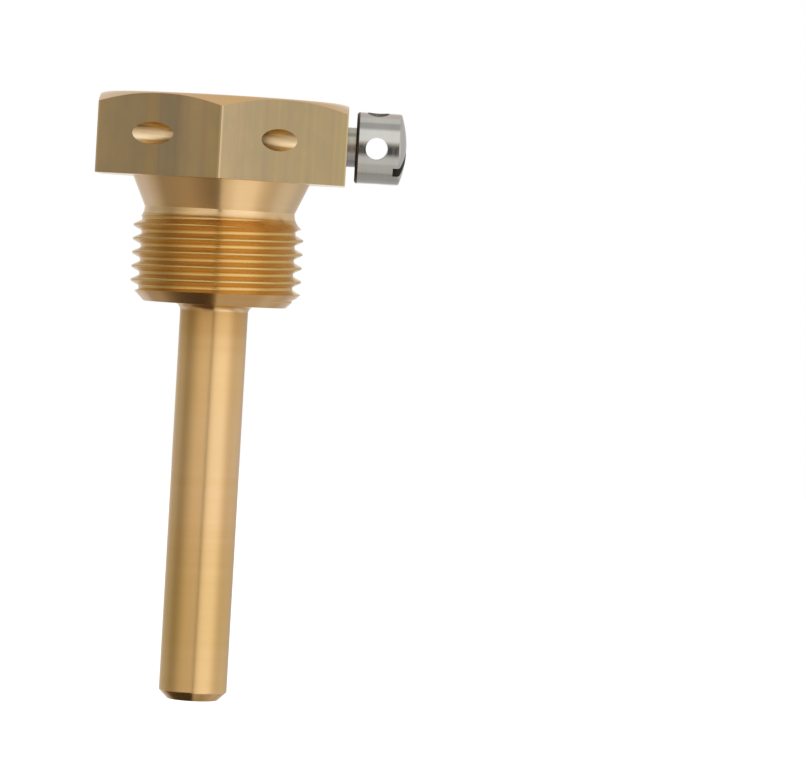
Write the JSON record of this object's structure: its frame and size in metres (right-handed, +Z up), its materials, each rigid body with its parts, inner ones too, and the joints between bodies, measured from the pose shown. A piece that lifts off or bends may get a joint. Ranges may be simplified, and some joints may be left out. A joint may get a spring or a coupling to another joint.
{
  "type": "thermowell",
  "caption": "Brass immersion pocket for a temperature sensor: hexagonal head, parallel pipe thread, slim closed stem and a slotted cross-hole clamp screw.",
  "frame": {"origin": "on the sensor bore's axis, in the plane of the hexagon's flat underside", "axes": "+Z runs up the bore, from the closed tip towards its open mouth; +X runs out along the clamp screw, square to one hexagon flat; a hexagon corner points along -Y"},
  "size_m": [0.0298, 0.0278, 0.0585],
  "materials": {
    "brass": "drawn and turned brass, clean and bright",
    "plated_steel": "turned, dull nickel-coloured"
  },
  "bodies": {
    "well": {"thermowell_body": "brass"},
    "screw": {"clamp_screw": "plated_steel"}
  },
  "joints": [
    {"name": "screw_slide", "type": "slide", "parent": "well", "child": "screw", "axis": [1, 0, 0], "range_m": [-0.0007, 0.007]}
  ]
}
